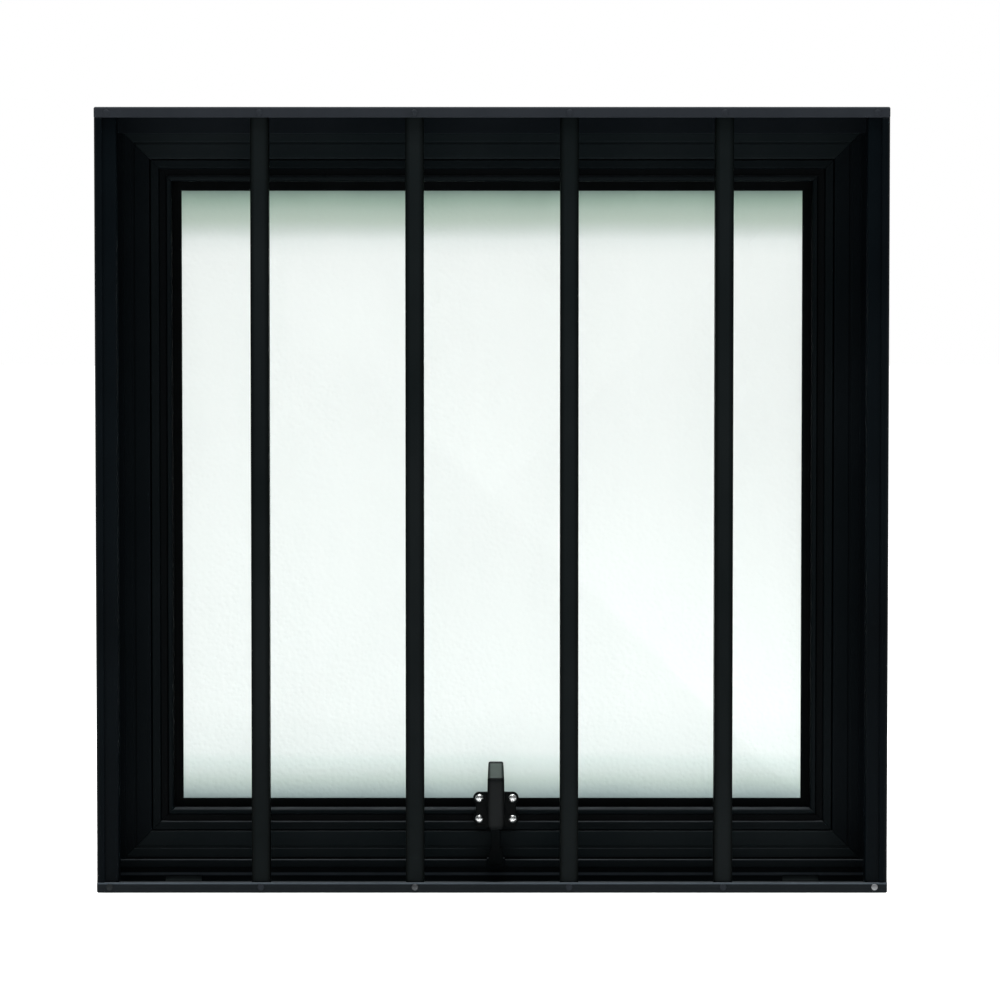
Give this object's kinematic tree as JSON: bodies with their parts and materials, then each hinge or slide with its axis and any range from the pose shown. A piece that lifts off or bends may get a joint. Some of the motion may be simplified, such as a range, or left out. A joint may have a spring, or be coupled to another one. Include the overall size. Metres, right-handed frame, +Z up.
{
  "type": "window with security bars",
  "caption": "Top-hung projecting window in a black metal frame, with upright security bars on the room side, an obscured pane, friction stays and a quarter-turn lever latch.",
  "frame": {"origin": "centre of the unit's footprint, at the underside of the sill", "axes": "+X to the right as seen from the room, +Y out of doors through the pane, +Z up"},
  "size_m": [0.6, 0.0862, 0.595],
  "materials": {
    "coated_metal": "satin powder coat",
    "black_rubber": "matte",
    "raw_aluminium": "mill",
    "obscured_glass": "obscured",
    "stainless": "brushed",
    "screw_steel": "plated",
    "bright_screw": "polished",
    "rivet_metal": "mill",
    "latch_casting": "satin",
    "black_plastic": "moulded"
  },
  "bodies": {
    "root": {"frame_head": "coated_metal", "frame_sill": "coated_metal", "frame_jamb_left": "coated_metal", "frame_jamb_right": "coated_metal", "frame_gasket": "black_rubber", "frame_corner_screw_top_left": "screw_steel", "frame_corner_screw_top_right": "screw_steel", "frame_corner_screw_bottom_left": "screw_steel", "frame_corner_screw_bottom_right": "screw_steel", "grille_end_bar_left": "coated_metal", "grille_end_bar_right": "coated_metal", "security_bar_1": "coated_metal", "security_bar_2": "coated_metal", "security_bar_3": "coated_metal", "security_bar_4": "coated_metal", "grille_rivet_top_1": "coated_metal", "grille_rivet_top_2": "coated_metal", "grille_rivet_top_3": "coated_metal", "grille_rivet_top_4": "coated_metal", "grille_rivet_top_5": "coated_metal", "grille_rivet_top_6": "coated_metal", "grille_rivet_bottom_1": "rivet_metal", "grille_rivet_bottom_2": "coated_metal", "grille_rivet_bottom_3": "rivet_metal", "grille_rivet_bottom_4": "coated_metal", "grille_rivet_bottom_5": "coated_metal", "grille_rivet_bottom_6": "rivet_metal", "latch_keeper": "coated_metal", "stay_track_left": "stainless", "stay_track_right": "stainless"},
    "sash": {"sash_top_rail": "coated_metal", "sash_bottom_rail": "coated_metal", "sash_stile_left": "coated_metal", "sash_stile_right": "coated_metal", "corner_cleat_top_left": "raw_aluminium", "corner_cleat_top_right": "raw_aluminium", "corner_cleat_bottom_left": "raw_aluminium", "corner_cleat_bottom_right": "raw_aluminium", "glazing_bead_top": "coated_metal", "glazing_bead_bottom": "coated_metal", "glazing_bead_left": "coated_metal", "glazing_bead_right": "coated_metal", "glass_pane": "obscured_glass", "glazing_gasket_inner": "black_rubber", "glazing_gasket_outer": "black_rubber", "latch_mounting_plate": "coated_metal", "latch_base": "latch_casting", "latch_screw_1": "bright_screw", "latch_screw_2": "bright_screw", "latch_screw_3": "bright_screw", "latch_screw_4": "bright_screw", "stay_sash_bar_left": "stainless", "stay_sash_bar_right": "stainless"},
    "stay_arm_left": {"stay_arm_left": "stainless"},
    "stay_arm_right": {"stay_arm_right": "stainless"},
    "stay_shoe_left": {"stay_shoe_left": "black_plastic"},
    "stay_shoe_right": {"stay_shoe_right": "black_plastic"},
    "latch_handle": {"latch_handle": "latch_casting", "latch_tongue": "latch_casting", "latch_spindle": "screw_steel"}
  },
  "joints": [
    {"name": "stay_arm_left_swing", "type": "hinge", "parent": "root", "child": "stay_arm_left", "pos_m": [-0.2916, 0.02575, 0.3814], "axis": [1, 0, 0], "range_deg": [-40, 0]},
    {"name": "stay_arm_right_swing", "type": "hinge", "parent": "root", "child": "stay_arm_right", "pos_m": [0.2916, 0.02575, 0.3814], "axis": [1, 0, 0], "range_deg": [-40, 0]},
    {"name": "sash_opening", "type": "hinge", "parent": "stay_arm_left", "child": "sash", "pos_m": [-0.2916, 0.02575, 0.4814], "axis": [1, 0, 0], "range_deg": [0, 80]},
    {"name": "stay_shoe_left_turn", "type": "hinge", "parent": "sash", "child": "stay_shoe_left", "pos_m": [-0.2916, 0.02575, 0.5814], "axis": [1, 0, 0], "range_deg": [-40, 0]},
    {"name": "stay_shoe_right_turn", "type": "hinge", "parent": "sash", "child": "stay_shoe_right", "pos_m": [0.2916, 0.02575, 0.5814], "axis": [1, 0, 0], "range_deg": [-40, 0]},
    {"name": "latch_turn", "type": "hinge", "parent": "sash", "child": "latch_handle", "pos_m": [0.003, -0.0006, 0.0586], "axis": [0, 1, 0], "range_deg": [0, 90]}
  ],
  "couplings": [
    {"joint": "stay_arm_left_swing", "follows": "sash_opening", "ratio": -0.5},
    {"joint": "stay_arm_right_swing", "follows": "sash_opening", "ratio": -0.5},
    {"joint": "stay_shoe_left_turn", "follows": "sash_opening", "ratio": -0.5},
    {"joint": "stay_shoe_right_turn", "follows": "sash_opening", "ratio": -0.5}
  ]
}
